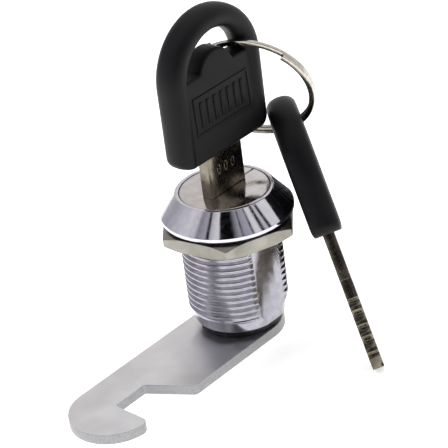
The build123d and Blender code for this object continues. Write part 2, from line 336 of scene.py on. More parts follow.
def housing():
    """The die-cast bezel and barrel, with a helical thread that runs out at both ends."""
    bottom, top = BARREL_END + COLLAR_H, THREAD_TOP
    turns = int((top - bottom) / THREAD_PITCH) + 3
    root = THREAD_R - THREAD_DEPTH
    below = [(BORE_R, BARREL_END), (COLLAR_R - 0.3, BARREL_END)]
    below += corner((COLLAR_R - 0.3, BARREL_END + 0.3), 0.3, -80, 0)
    below += [(COLLAR_R, bottom - 0.12), (COLLAR_R - 0.1, bottom)]
    above = [(root, -0.02), (root + 0.05, 0), (BEZEL_R - 0.12, 0)]
    above += corner((BEZEL_R - 0.12, 0.12), 0.12, -80, 0)
    above += corner((BEZEL_R - 0.16, BEZEL_BAND - 0.10), 0.16, 8, 40)
    above += corner((RIM_R - 0.10, RIM_TOP - 0.16), 0.16, 42, 84)
    above += corner((SEAT_R + 0.10, RIM_TOP - 0.10), 0.10, 90, 172)
    above += [(SEAT_R, SEAT_Z), (BORE_R, SEAT_Z)]
    columns = []
    for i in range(AROUND + 1):
        lead = THREAD_PITCH * i / AROUND
        column = []
        for turn in range(-1, turns):
            for share, depth in thread_form():
                z = bottom + (turn + share) * THREAD_PITCH + lead
                z = min(max(z, bottom), top)
                fade = min(1.0, (z - bottom) / THREAD_PITCH, (top - z) / THREAD_PITCH)
                column.append((root + THREAD_DEPTH * depth * fade, z))
        columns.append(below + column + above)
    count = len(columns[0])
    points, faces = [], []
    for i, column in enumerate(columns):
        a = 2 * pi * i / AROUND
        points += [(r * cos(a), r * sin(a), z) for r, z in column]
    for i in range(AROUND):
        for j in range(count):
            k = (j + 1) % count
            here, there = i * count, (i + 1) * count
            faces.append((here + j, there + j, there + k, here + k))
    body = solid("die_cast_housing", points, faces)
    tools = []
    wide = BEZEL_R + 3
    for turn in (0, 180):
        side = [(-wide, FLAT_Y - wide * FLAT_DRAFT), (0, FLAT_Y), (wide, FLAT_Y - wide * FLAT_DRAFT),
                (wide, wide), (-wide, wide)]
        tools.append(placed(prism("flat", side, BARREL_END - 1, -0.001), about_z(turn)))
        tools.append(placed(block(-CHANNEL_R, CHANNEL_R, -CHANNEL_HALF, CHANNEL_HALF,
                                  BARREL_END - 1, CHANNEL_TOP), about_z(turn / 2)))
    body = with_tools(body, "DIFFERENCE", *tools)
    first, last = LUG_MID - LUG_HALF, LUG_MID + LUG_HALF
    lug = arc((0, 0), LUG_R[0], first, last, 8) + arc((0, 0), LUG_R[1], last, first, 8)
    lug = prism("lug", lug, housing_low.z, BARREL_END + 0.4)
    return clean(with_tools(body, "UNION", lug), sharp=32)


def mounting_nut():
    """Hex nut, its corners turned down by a chamfer on both faces."""
    corner_r = NUT_AF / sqrt(3)
    z0, z1 = nut_low.z, nut_high.z
    outline = []
    for i in range(6):
        outline += arc_corner(corner_r, NUT_CORNER + 60 * i, 0.5)
    body = prism("hex_mounting_nut", outline, z0, z1)
    drop = (corner_r - NUT_CHAMFER_R) * 0.5
    dome = turned("dome", [
        (0.5, z0), (NUT_CHAMFER_R - 0.3, z0), (NUT_CHAMFER_R, z0 + 0.03), (corner_r + 0.1, z0 + drop + 0.05),
        (corner_r + 0.1, z1 - drop - 0.05), (NUT_CHAMFER_R, z1 - 0.03), (NUT_CHAMFER_R - 0.3, z1), (0.5, z1),
    ])
    body = with_tools(body, "INTERSECT", dome)
    bore = turned("bore", [
        (0.2, z0 - 1), (NUT_BORE + 1.35, z0 - 1), (NUT_BORE, z0 + 0.35),
        (NUT_BORE, z1 - 0.35), (NUT_BORE + 1.35, z1 + 1), (0.2, z1 + 1),
    ])
    return clean(with_tools(body, "DIFFERENCE", bore), sharp=12)


def arc_corner(radius, angle, round_r):
    """A rounded corner of a hexagon, as a few points."""
    back = radius - round_r / cos(radians(30))
    centre = (back * cos(radians(angle)), back * sin(radians(angle)))
    return arc(centre, round_r, angle - 30, angle + 30, 6)


# ================= plug, cam and fasteners =================

def plug():
    """The plug: its polished face, its long body and the square tail that carries the cam."""
    top = plug_high.z
    body = turned("turning_plug", [
        (0.0, top), *corner((FACE_R - 0.2, top - 0.2), 0.2, 88, 2), (FACE_R, FACE_UNDER + 0.1),
        (FACE_R - 0.1, FACE_UNDER), (PLUG_R, FACE_UNDER), (PLUG_R, PLUG_END + 0.15),
        (PLUG_R - 0.15, PLUG_END), (0.0, PLUG_END),
    ])
    tail = block(-TAIL_HALF, TAIL_HALF, -TAIL_HALF, TAIL_HALF, plug_low.z, PLUG_END + 0.5)
    body = with_tools(body, "UNION", tail)
    half, width = KEYWAY[0] / 2, KEYWAY[1] / 2
    slot = rounded(block(-half, half, -width, width, KEYWAY[2], top + 1), 0.08)
    line = block(1.0, FACE_R + 1, -INDEX[0] / 2, INDEX[0] / 2, top - INDEX[1], top + 1)
    body = with_tools(body, "DIFFERENCE", slot, line, *wafer_slots())
    return clean(body, sharp=25)


def wafer_slots():
    """A slot right through the plug for each wafer, and the pocket beside it for its spring."""
    half_width, half_height = WAFER_SLOT
    start, end, deep = WAFER_POCKET
    tools = []
    for index in range(WAFERS):
        low, high = size_of(f"wafer_{index + 1}")
        z = (low.z + high.z) / 2
        z0, z1 = z - half_height, z + half_height
        x0, x1 = (start, end) if index % 2 == 0 else (-end, -start)
        tools.append(block(-FACE_R, FACE_R, -half_width, half_width, z0, z1))
        tools.append(block(x0, x1, 0, deep, z0, z1))
    return tools


def hook_cam():
    """The stamped cam, a flat hook with the edges of both faces rounded."""
    nose, x = CAM_NOSE_R, CAM_NOSE_X
    heel_x, slope_x, hook_x = NOTCH_X
    outline = arc((0, 0), CAM_HALF, 90, -90, 48)
    outline += [(heel_x + 0.4, -CAM_HALF)]
    outline += arc((heel_x + 0.55 * HEEL_ROUND, HEEL_ROUND - CAM_HALF), HEEL_ROUND, 270, 211, 5)
    outline += arc((slope_x - 0.75, NOTCH_Y - NOTCH_ROUND), NOTCH_ROUND, 30, 90, 5)
    outline += arc((hook_x + NOTCH_ROUND, NOTCH_Y - NOTCH_ROUND), NOTCH_ROUND, 90, 180, 5)
    outline += [HOOK_TIP]
    outline += [(HOOK_TIP[0] - back, y) for back, y in TIP_ROUND[:-1]]
    back, y = TIP_ROUND[-1]
    start = degrees(atan2(y, HOOK_TIP[0] - back - x))
    outline += arc((x, 0), nose, start, -270, 60)
    plate = prism("stamped_hook_cam", outline, cam_low.z, cam_high.z)
    hole = block(-CAM_SQ_HALF, CAM_SQ_HALF, -CAM_SQ_HALF, CAM_SQ_HALF, cam_low.z - 1, cam_high.z + 1)
    plate = with_tools(plate, "DIFFERENCE", hole)
    plate = clean(rounded(plate, CAM_EDGE, 50), sharp=35)
    # Marks the upright side faces, which the zinc finish paints darker as shade.
    mark_faces(plate, "painted_side_shade", is_upright)
    return plate


def is_upright(face):
    """Whether a face of the cam stands upright, where the die's shearing cut the plate; the finish paints
    these faces darker as shade.
    """
    return abs(face.normal.z) < 0.6


def stop_washer():
    """Washer with the long notch that the housing's lug runs in."""
    first = LUG_MID - LUG_HALF - STOP_PLAY
    last = LUG_MID + LUG_HALF + STOP_PLAY + TURN
    inner = LUG_R[0] - LUG_GAP
    outline = arc((0, 0), WASHER_R, last - 360, first, 72) + arc((0, 0), inner, first, last, 36)
    plate = prism("stop_plate", outline, washer_low.z, washer_high.z)
    hole = block(-CAM_SQ_HALF, CAM_SQ_HALF, -CAM_SQ_HALF, CAM_SQ_HALF, washer_low.z - 1, washer_high.z + 1)
    return clean(rounded(with_tools(plate, "DIFFERENCE", hole), 0.08, 40, 2), sharp=35)


def toothed_washer():
    """Spring washer with flat teeth round its rim."""
    inner, outer, teeth = TOOTHED
    z0, z1 = toothed_low.z, toothed_high.z
    outline = []
    for tooth in range(teeth):
        a = 360 / teeth * tooth
        outline += arc((0, 0), outer - 0.8, a - 4, a + 4, 2)
        outline += arc((0, 0), outer - 0.02, a + 5, a + 360 / teeth - 5, 5)
    ring = prism("toothed_spring_washer", outline, z0, z1)
    bore = turned("bore", [(0, z0 - 1), (inner, z0 - 1), (inner, z1 + 1), (0, z1 + 1)], 96)
    return clean(rounded(with_tools(ring, "DIFFERENCE", bore), 0.05, 40, 2), sharp=35)


def cam_screw():
    """Pan-head screw with a cross recess."""
    radius, height = SCREW_HEAD
    low, top = screw_low.z, screw_low.z + height
    side = arc((radius - 1.5, low + 1.5), 1.5, 0, -90, 10)
    body = turned("cross_recessed_screw", [
        (0, low), *reversed(side), (radius, top - 0.05), (radius - 0.1, top), (2.45, top),
        (2.45, screw_high.z + 0.4), (2.05, screw_high.z), (0, screw_high.z),
    ], 96)
    length, width, deep, twist = CROSS
    arms = []
    for turn in (0, 90):
        arm = rounded(block(-length / 2, length / 2, -width / 2, width / 2, low - 1, low + deep), 0.15)
        arms.append(placed(arm, about_z(twist + turn)))
    return clean(with_tools(body, "DIFFERENCE", *arms), sharp=30)


# ================= keys =================

def upright(piece):
    """Turns a flat plate up, so that its outline's second axis runs along Z."""
    return placed(piece, Matrix.Rotation(pi / 2, 4, "X"))


def blade(name):
    """Flat key blank, cut on both edges, with a groove and three stamped ovals on each face."""
    tip = blade_low.z
    right = [(TIP[0], tip)]
    slope = (BLADE_HALF - TIP[0]) / TIP[1]
    for index in reversed(range(len(CUT_DEPTHS))):
        z, depth = CUT_FIRST - index * CUT_PITCH, CUT_DEPTHS[index]
        mouth, floor = CUT_FLOOR / 2 + depth, CUT_FLOOR / 2
        if tip + TIP[1] > z - mouth:
            meet = (BLADE_HALF + z - mouth - TIP[0] + slope * tip) / (1 + slope)
            right.append((TIP[0] + slope * (meet - tip), meet))
        else:
            right.append((BLADE_HALF, z - mouth))
        right += [(BLADE_HALF - depth, z - floor), (BLADE_HALF - depth, z + floor), (BLADE_HALF, z + mouth)]
    right += [(BLADE_HALF, SHOULDER_Z), (SHANK_HALF, SHOULDER_Z), (SHANK_HALF, FOOT + 2.0),
              (3.6, FOOT + 3.0), (3.6, blade_high.z)]
    outline = right + [(-x, z) for x, z in reversed(right)]
    body = upright(prism(name, outline, -BLADE_T / 2, BLADE_T / 2))
    body = rounded(body, 0.07, 25, 2)
    width, deep, offset = GROOVE
    tools = []
    for turn in (0, 180):
        groove = block(offset - width / 2, offset + width / 2, BLADE_T / 2 - deep, BLADE_T,
                       tip - 1, SHOULDER_Z - 0.5)
        tools.append(placed(rounded(groove, 0.18), about_z(turn)))
        for column in (-1, 0, 1):
            tools.append(placed(oval_stamp(column * MARK_PITCH), about_z(turn)))
    body = clean(with_tools(body, "DIFFERENCE", *tools), sharp=30)
    mark_faces(body, "stamped", is_stamped)
    return body


def is_stamped(face):
    """Whether a blade's face lies inside the stamped ovals, where the stamp bared the metal."""
    at = face.center / MM
    in_width = abs(at.x) < MARK_PITCH + MARK[0] + 0.1
    in_height = abs(at.z - MARK_Z) < MARK[1] + 0.1
    return in_width and in_height and abs(at.y) < BLADE_T / 2 - 0.01


def oval_stamp(x):
    """The ring of metal that one stamped oval presses in, on the face towards -Y."""
    half_w, half_h, line, deep = MARK
    floor = deep - BLADE_T / 2
    steps = 32
    points = []
    for i in range(steps):
        a = 2 * pi * i / steps
        for shrink, y in ((0, -2), (line, -2), (line - 0.06, floor), (0.06, floor)):
            points.append((x + (half_w - shrink) * cos(a), y, MARK_Z + (half_h - shrink) * sin(a)))
    faces = []
    for i in range(steps):
        here, there = 4 * i, 4 * ((i + 1) % steps)
        for j in range(4):
            k = (j + 1) % 4
            faces.append((here + j, there + j, there + k, here + k))
    return solid("tool", points, faces)


def rim_section():
    """Cross-section of the head's rim: outward and across, as shares of its half sizes."""
    steps = 40
    section = []
    for i in range(steps):
        a = 2 * pi * i / steps
        out, across = cos(a), sin(a)
        reach = (abs(out) ** RIM_POWER + abs(across) ** RIM_POWER) ** (-1 / RIM_POWER)
        section.append((out * reach, across * reach))
    return section


def rim():
    """The fat rim: up one leg, over the arch and down the other leg, its feet rounded off."""
    stations = []
    for i in range(9):
        a = radians(90 - 90 * i / 8)
        stations.append((Vector((1, 0, 0)), Vector((0, 0, FOOT + HEAD_CORNER * (1 - sin(a)))),
                         HEAD_CORNER * (1 - cos(a))))
    rise = HEAD_MID - FOOT - HEAD_CORNER
    for i in range(1, 5):
        stations.append((Vector((1, 0, 0)), Vector((0, 0, FOOT + HEAD_CORNER + rise * i / 5)), 0.0))
    legs = list(stations)
    for i in range(65):
        a = pi * i / 64
        stations.append((Vector((cos(a), 0, sin(a))), Vector((0, 0, HEAD_MID)), 0.0))
    for out, base, cut in reversed(legs):
        stations.append((-out, base, cut))
    half_w, half_t = RIM_HALF
    section = rim_section()
    points, faces = [], []
    for out, base, cut in stations:
        middle, width = HEAD_R - cut / 2, half_w - cut / 2
        thick = half_t - 0.25 * cut
        for reach, across in section:
            points.append(base + out * (middle + width * reach) + Vector((0, thick * across, 0)))
    count = len(section)
    for i in range(len(stations) - 1):
        for j in range(count):
            k = (j + 1) % count
            faces.append((i * count + j, (i + 1) * count + j, (i + 1) * count + k, i * count + k))
    last = (len(stations) - 1) * count
    faces += [tuple(range(count)), tuple(range(last, last + count))]
    return solid("rim", points, faces)


def panel():
    """The panel between the legs. It is level with the rim at the foot and sinks towards its rounded top."""
    centre, radius, start = HUMP
    edge = degrees(acos((start - centre) / radius))
    side = HEAD_R - 0.3
    outline = [(-side, start), (-side, FOOT), (side, FOOT), (side, start)]
    outline += arc((0, centre), radius, 90 - edge, 90 + edge, 24)
    top = centre + radius
    slope = (PANEL_HALF[0] - PANEL_HALF[1]) / (top - FOOT)
    points = []
    for face in (-1, 1):
        points += [(x, face * (PANEL_HALF[0] - slope * (z - FOOT)), z) for x, z in outline]
    count = len(outline)
    faces = [tuple(range(count)), tuple(range(2 * count - 1, count - 1, -1))]
    for i in range(count):
        j = (i + 1) % count
        faces.append((i, j, count + j, count + i))
    made = rounded(solid("panel", points, faces), 0.55, 40, 4)
    return made, slope


def grip(slope):
    """Raised frame and bars of the grip, on the face towards +Y."""
    width, height, middle = GRIP
    bar_w, bar_h, pitch = GRIP_BAR
    line = GRIP_LINE
    outer = block(-width / 2, width / 2, -0.4, GRIP_RAISE, -height / 2, height / 2)
    inner = block(-width / 2 + line, width / 2 - line, -1, 1, -height / 2 + line, height / 2 - line)
    raised = [with_tools(outer, "DIFFERENCE", inner)]
    for bar in range(GRIP_BARS):
        x = (bar - (GRIP_BARS - 1) / 2) * pitch
        raised.append(block(x - bar_w / 2, x + bar_w / 2, -0.4, GRIP_RAISE, -bar_h / 2, bar_h / 2))
    surface = PANEL_HALF[0] - slope * (middle - FOOT)
    lean = Matrix.Rotation(atan2(slope, 1.0), 4, "X")
    return [placed(rounded(part, 0.07, 40, 2), shift(0, surface, middle) @ lean) for part in raised]


def key_head(name):
    """The moulded head: rim, panel and both grips, with a slot for the blade's shank."""
    made, slope = panel()
    made.name = name
    tools = [rim()]
    for turn in (0, 180):
        tools += [placed(part, about_z(turn)) for part in grip(slope)]
    made = with_tools(made, "UNION", *tools)
    tang = block(-SHANK_HALF, SHANK_HALF, -BLADE_T / 2, BLADE_T / 2, FOOT - 1, FOOT + 2.0)
    made = with_tools(made, "DIFFERENCE", tang)
    made.name = name
    return clean(made, sharp=38)


def hanging_place():
    """Where the second key hangs: its own axes and its origin."""
    across = KEY_2_UP.cross(KEY_2_SIDE).normalized()
    side = across.cross(KEY_2_UP)
    turn = Matrix((side, across, KEY_2_UP)).transposed().to_4x4()
    return Matrix.Translation((KEY_2_AT + across * KEY_2_OFF) * MM) @ turn


# ================= nodes =================

def node(tree, kind, inputs=None, stops=(), **settings):
    """Adds a node. Inputs are values or other nodes' outputs, by socket, and settings are its properties.
    Stops are the places and hex colours along its ramp."""
    made = tree.nodes.new(kind)
    for name, value in settings.items():
        setattr(made, name, value)
    while stops and len(made.color_ramp.elements) < len(stops):
        made.color_ramp.elements.new(0.5)
    for index, (position, code) in enumerate(stops):
        made.color_ramp.elements[index].position = position
        made.color_ramp.elements[index].color = linear(code)
    for socket, value in (inputs or {}).items():
        if isinstance(value, bpy.types.NodeSocket):
            tree.links.new(value, made.inputs[socket])
        else:
            made.inputs[socket].default_value = value
    return made


def coil_of_wire():
    """Nodes for a flat wire wound in close turns, with its ends cut square."""
    tree = bpy.data.node_groups.new("close-wound flat wire", "GeometryNodeTree")
    for name in ("Coil Radius", "Turns", "Rise", "Strand Width", "Strand Height", "Strand Round"):
        tree.interface.new_socket(name=name, in_out="INPUT", socket_type="NodeSocketFloat")
    tree.interface.new_socket(name="Finish", in_out="INPUT", socket_type="NodeSocketMaterial")
    tree.interface.new_socket(name="Geometry", in_out="OUTPUT", socket_type="NodeSocketGeometry")
    given = node(tree, "NodeGroupInput").outputs
    spiral = node(tree, "GeometryNodeCurveSpiral", {
        "Resolution": 160, "Rotations": given["Turns"], "Start Radius": given["Coil Radius"],
        "End Radius": given["Coil Radius"], "Height": given["Rise"]})
    upright_normals = node(tree, "GeometryNodeSetCurveNormal", {
        "Curve": spiral.outputs["Curve"]}, mode="Z_UP")
    strip = node(tree, "GeometryNodeCurvePrimitiveQuadrilateral", {
        "Width": given["Strand Width"], "Height": given["Strand Height"]})
    strip_round = node(tree, "GeometryNodeFilletCurve", {
        "Curve": strip.outputs["Curve"], "Radius": given["Strand Round"], "Count": 3}, mode="POLY")
    wire = node(tree, "GeometryNodeCurveToMesh", {
        "Curve": upright_normals.outputs["Curve"], "Profile Curve": strip_round.outputs["Curve"],
        "Fill Caps": True})
    real = node(tree, "GeometryNodeRealizeInstances", {"Geometry": wire.outputs["Mesh"]})
    finish = node(tree, "GeometryNodeSetMaterial", {
        "Geometry": real.outputs["Geometry"], "Material": given["Finish"]})
    node(tree, "NodeGroupOutput", {"Geometry": finish.outputs["Geometry"]})
    return tree


def grown(name, tree, sizes):
    """An object made by geometry nodes, with each input set by its socket's identifier."""
    made = link(name, bpy.data.meshes.new(name))
    grow = made.modifiers.new("grow", "NODES")
    grow.node_group = tree
    for item in tree.interface.items_tree:
        if item.in_out == "INPUT":
            grow[item.identifier] = sizes[item.name]
    return plain(made)


def split_ring(finish):
    """Flat nickel-plated wire in close left-handed turns."""
    coil = grown("split_key_ring", coil_of_wire(), {
        "Coil Radius": RING_R * MM, "Turns": RING_TURNS, "Rise": STRAND_PITCH * RING_TURNS * MM,
        "Strand Width": STRAND[0] * MM, "Strand Height": STRAND[1] * MM, "Strand Round": 0.18 * MM,
        "Finish": finish})
    first = coil.data.vertices[0].co
    placed(coil, about_z(-degrees(atan2(first.y, first.x))))
    placed(coil, Matrix.Diagonal((1, -1, 1, 1)))
    side = RING_END_AT - RING_MID
    side = (side - RING_AXIS * side.dot(RING_AXIS)).normalized()
    turn = Matrix((side, RING_AXIS.cross(side), RING_AXIS)).transposed().to_4x4()
    placed(coil, Matrix.Translation(RING_MID * MM) @ turn @ shift(z=-STRAND_PITCH * RING_TURNS / 2))
    return clean(coil, sharp=35)


# ================= finishes =================

WAVE_PERIOD = 0.314      # a wave texture repeats at this length when its scale is 1


def linear(code):
    """An sRGB hex colour as linear red, green, blue and alpha."""
    values = [int(code[i:i + 2], 16) / 255 for i in (1, 3, 5)]
    return [v / 12.92 if v <= 0.04045 else ((v + 0.055) / 1.055) ** 2.4 for v in values] + [1.0]


def per_mm(length):
    """Texture scale for a pattern that repeats at this length in millimetres."""
    return 1 / (length * MM)


def new_finish(name, code, roughness, metallic):
    """A new material, with its tree, its shader and the place on the object."""
    material = bpy.data.materials.new(name)
    material.use_nodes = True
    tree = material.node_tree
    shader = tree.nodes["Principled BSDF"]
    shader.inputs["Base Color"].default_value = linear(code)
    shader.inputs["Roughness"].default_value = roughness
    shader.inputs["Metallic"].default_value = metallic
    place = node(tree, "ShaderNodeTexCoord").outputs["Object"]
    return material, tree, shader, place


def bright_cast_chrome():
    """Chrome over a zinc casting: mirror clear on the polished bezel, and duller on the barrel that was never
    polished, with a slow ripple and pits."""
    material, tree, shader, place = new_finish("bright chrome on cast zinc", "#d2d1d8", 0.07, 1.0)
    ripple = node(tree, "ShaderNodeTexNoise", {"Vector": place, "Scale": per_mm(3.5), "Detail": 2.0})
    pits = node(tree, "ShaderNodeTexVoronoi", {"Vector": place, "Scale": per_mm(0.9)}, feature="F1")
    pit_depth = node(tree, "ShaderNodeMapRange", {
        "Value": pits.outputs["Distance"], "From Min": 0.02, "From Max": 0.14, "To Min": 0.0, "To Max": 1.0})
    haze = node(tree, "ShaderNodeTexNoise", {"Vector": place, "Scale": per_mm(1.1), "Detail": 5.0})
    clouded = node(tree, "ShaderNodeMapRange", {
        "Value": haze.outputs["Fac"], "From Min": 0.3, "From Max": 0.7, "To Min": 0.05, "To Max": 0.13})
    height = node(tree, "ShaderNodeSeparateXYZ", {"Vector": place})
    barrel = node(tree, "ShaderNodeMapRange", {
        "Value": height.outputs["Z"], "From Min": 0.2 * MM, "From Max": -0.2 * MM})
    dulled = node(tree, "ShaderNodeMath", {
        0: barrel.outputs["Result"], 1: 0.09, 2: clouded.outputs["Result"]}, operation="MULTIPLY_ADD")
    tree.links.new(dulled.outputs["Value"], shader.inputs["Roughness"])
    polished = node(tree, "ShaderNodeValToRGB", {"Fac": haze.outputs["Fac"]}, stops=[
        (0.3, "#cac9d1"), (0.7, "#d8d7dd")])
    cast = node(tree, "ShaderNodeValToRGB", {"Fac": haze.outputs["Fac"]}, stops=[
        (0.3, "#9f9ea6"), (0.7, "#b6b4bc")])
    colour = node(tree, "ShaderNodeMix", {
        0: barrel.outputs["Result"], 6: polished.outputs["Color"], 7: cast.outputs["Color"]},
        data_type="RGBA")
    tree.links.new(colour.outputs[2], shader.inputs["Base Color"])
    pitted = node(tree, "ShaderNodeBump", {
        "Height": pit_depth.outputs["Result"], "Strength": 0.05, "Distance": 0.02 * MM})
    rippled = node(tree, "ShaderNodeBump", {
        "Height": ripple.outputs["Fac"], "Strength": 0.10, "Distance": 0.10 * MM,
        "Normal": pitted.outputs["Normal"]})
    tree.links.new(rippled.outputs["Normal"], shader.inputs["Normal"])
    return material


def satin_nickel():
    """Satin nickel on a turned brass nut: warm grey, with fine tool rings and a soft tumbled grain."""
    material, tree, shader, place = new_finish("satin nickel on turned brass", "#94918a", 0.32, 1.0)
    rings = node(tree, "ShaderNodeTexWave", {
        "Vector": place, "Scale": WAVE_PERIOD * per_mm(0.28), "Distortion": 1.2, "Detail": 2.0,
        "Detail Scale": 2.0},
        wave_type="RINGS", rings_direction="Z")
    grain = node(tree, "ShaderNodeTexNoise", {"Vector": place, "Scale": per_mm(0.35), "Detail": 6.0})
    dull = node(tree, "ShaderNodeTexNoise", {"Vector": place, "Scale": per_mm(4.0), "Detail": 3.0})
    tint = node(tree, "ShaderNodeValToRGB", {"Fac": dull.outputs["Fac"]}, stops=[
        (0.30, "#858279"), (0.70, "#a19e96")])
    tree.links.new(tint.outputs["Color"], shader.inputs["Base Color"])
    worn = node(tree, "ShaderNodeMapRange", {
        "Value": grain.outputs["Fac"], "From Min": 0.3, "From Max": 0.7, "To Min": 0.26, "To Max": 0.42})
    tree.links.new(worn.outputs["Result"], shader.inputs["Roughness"])
    turned_marks = node(tree, "ShaderNodeBump", {
        "Height": rings.outputs["Fac"], "Strength": 0.10, "Distance": 0.02 * MM})
    tumbled = node(tree, "ShaderNodeBump", {
        "Height": grain.outputs["Fac"], "Strength": 0.18, "Distance": 0.05 * MM,
        "Normal": turned_marks.outputs["Normal"]})
    tree.links.new(tumbled.outputs["Normal"], shader.inputs["Normal"])
    return material


def polished_plug_chrome():
    """Chrome over a polished brass face: a warm, slightly hazy mirror with rings from the polishing wheel."""
    material, tree, shader, place = new_finish("chrome on polished brass", "#d0cccb", 0.10, 1.0)
    rings = node(tree, "ShaderNodeTexWave", {
        "Vector": place, "Scale": WAVE_PERIOD * per_mm(0.35), "Distortion": 2.5, "Detail": 3.0,
        "Detail Scale": 1.5},
        wave_type="RINGS", rings_direction="Z")
    haze = node(tree, "ShaderNodeTexNoise", {"Vector": place, "Scale": per_mm(2.2), "Detail": 4.0})
    clouded = node(tree, "ShaderNodeMapRange", {
        "Value": haze.outputs["Fac"], "From Min": 0.3, "From Max": 0.7, "To Min": 0.08, "To Max": 0.17})
    tree.links.new(clouded.outputs["Result"], shader.inputs["Roughness"])
    tint = node(tree, "ShaderNodeValToRGB", {"Fac": haze.outputs["Fac"]}, stops=[
        (0.3, "#c6c1c0"), (0.7, "#d8d5d4")])
    tree.links.new(tint.outputs["Color"], shader.inputs["Base Color"])
    wheel = node(tree, "ShaderNodeBump", {
        "Height": rings.outputs["Fac"], "Strength": 0.05, "Distance": 0.01 * MM})
    tree.links.new(wheel.outputs["Normal"], shader.inputs["Normal"])
    return material


def tumbled_zinc():
    """Zinc plate on tumbled steel: specks and short scratches scatter light, and the upright side faces get a
    darker grey, which is painted shade.
    """
    material, tree, shader, place = new_finish("zinc plate on tumbled steel", "#cbc9c8", 0.36, 1.0)
    specks = node(tree, "ShaderNodeTexNoise", {"Vector": place, "Scale": per_mm(0.22), "Detail": 6.0,
                                               "Roughness": 0.65})
    stretched = node(tree, "ShaderNodeMapping", {"Vector": place, "Rotation": (0, 0, radians(24)),
                                                 "Scale": (1.0, 9.0, 1.0)})
    scratches = node(tree, "ShaderNodeTexNoise", {"Vector": stretched.outputs["Vector"], "Scale": per_mm(2.2),
                                                  "Detail": 4.0})
    cloud = node(tree, "ShaderNodeTexNoise", {"Vector": place, "Scale": per_mm(6.0), "Detail": 3.0})
    plate = node(tree, "ShaderNodeValToRGB", {"Fac": cloud.outputs["Fac"]}, stops=[
        (0.25, "#d9d9dc"), (0.75, "#edecec")])
    # Darker grey for the upright side faces: painted shade, as the sides fall darker than the top.
    edge = node(tree, "ShaderNodeValToRGB", {"Fac": specks.outputs["Fac"]}, stops=[
        (0.35, "#868688"), (0.65, "#a9a9aa")])
    painted_side_shade = node(tree, "ShaderNodeAttribute", attribute_name="painted_side_shade", attribute_type="GEOMETRY")
    colour = node(tree, "ShaderNodeMix", {
        0: painted_side_shade.outputs["Fac"], 6: plate.outputs["Color"], 7: edge.outputs["Color"]}, data_type="RGBA")
    tree.links.new(colour.outputs[2], shader.inputs["Base Color"])
    scattered = node(tree, "ShaderNodeMapRange", {
        "Value": specks.outputs["Fac"], "From Min": 0.3, "From Max": 0.7, "To Min": 0.28, "To Max": 0.46})
    tree.links.new(scattered.outputs["Result"], shader.inputs["Roughness"])
    speckled = node(tree, "ShaderNodeBump", {
        "Height": specks.outputs["Fac"], "Strength": 0.22, "Distance": 0.04 * MM})
    scratched = node(tree, "ShaderNodeBump", {
        "Height": scratches.outputs["Fac"], "Strength": 0.10, "Distance": 0.03 * MM,
        "Normal": speckled.outputs["Normal"]})
    tree.links.new(scratched.outputs["Normal"], shader.inputs["Normal"])
    return material


def spring_steel():
    """Bare spring steel: cool grey and finely mottled, with a trace of oil that evens its gloss."""
    material, tree, shader, place = new_finish("oiled spring steel", "#8f9194", 0.30, 1.0)
    mottle = node(tree, "ShaderNodeTexNoise", {"Vector": place, "Scale": per_mm(0.3), "Detail": 4.0})
    tint = node(tree, "ShaderNodeValToRGB", {"Fac": mottle.outputs["Fac"]}, stops=[
        (0.3, "#84868a"), (0.7, "#9c9ea1")])
    tree.links.new(tint.outputs["Color"], shader.inputs["Base Color"])
    grain = node(tree, "ShaderNodeBump", {"Height": mottle.outputs["Fac"], "Strength": 0.15,
                                          "Distance": 0.02 * MM})
    tree.links.new(grain.outputs["Normal"], shader.inputs["Normal"])
    return material


def blackened_steel():
    """Near-black steel on the stop washer: the dark colour is painted shadow for the gap between the barrel
    and the cam, with a soft brownish gloss and paler rubbed spots.
    """
    material, tree, shader, place = new_finish("near-black steel, painted gap shadow", "#2b2a2c", 0.38, 1.0)
    rub = node(tree, "ShaderNodeTexNoise", {"Vector": place, "Scale": per_mm(1.3), "Detail": 5.0})
    tint = node(tree, "ShaderNodeValToRGB", {"Fac": rub.outputs["Fac"]}, stops=[
        (0.35, "#242325"), (0.75, "#454244")])
    tree.links.new(tint.outputs["Color"], shader.inputs["Base Color"])
    grain = node(tree, "ShaderNodeBump", {"Height": rub.outputs["Fac"], "Strength": 0.15,
                                          "Distance": 0.03 * MM})
    tree.links.new(grain.outputs["Normal"], shader.inputs["Normal"])
    return material


def stamped_brass():
    """Half-hard brass strip: yellow, with faint lines from the rolling."""
    material, tree, shader, place = new_finish("stamped brass strip", "#c9a157", 0.28, 1.0)
    stretched = node(tree, "ShaderNodeMapping", {"Vector": place, "Scale": (1.0, 12.0, 1.0)})
    rolled = node(tree, "ShaderNodeTexNoise", {"Vector": stretched.outputs["Vector"], "Scale": per_mm(1.5),
                                               "Detail": 4.0})
    tint = node(tree, "ShaderNodeValToRGB", {"Fac": rolled.outputs["Fac"]}, stops=[
        (0.3, "#bd934a"), (0.7, "#d3ae67")])
    tree.links.new(tint.outputs["Color"], shader.inputs["Base Color"])
    lines = node(tree, "ShaderNodeBump", {"Height": rolled.outputs["Fac"], "Strength": 0.12,
                                          "Distance": 0.02 * MM})
    tree.links.new(lines.outputs["Normal"], shader.inputs["Normal"])
    return material


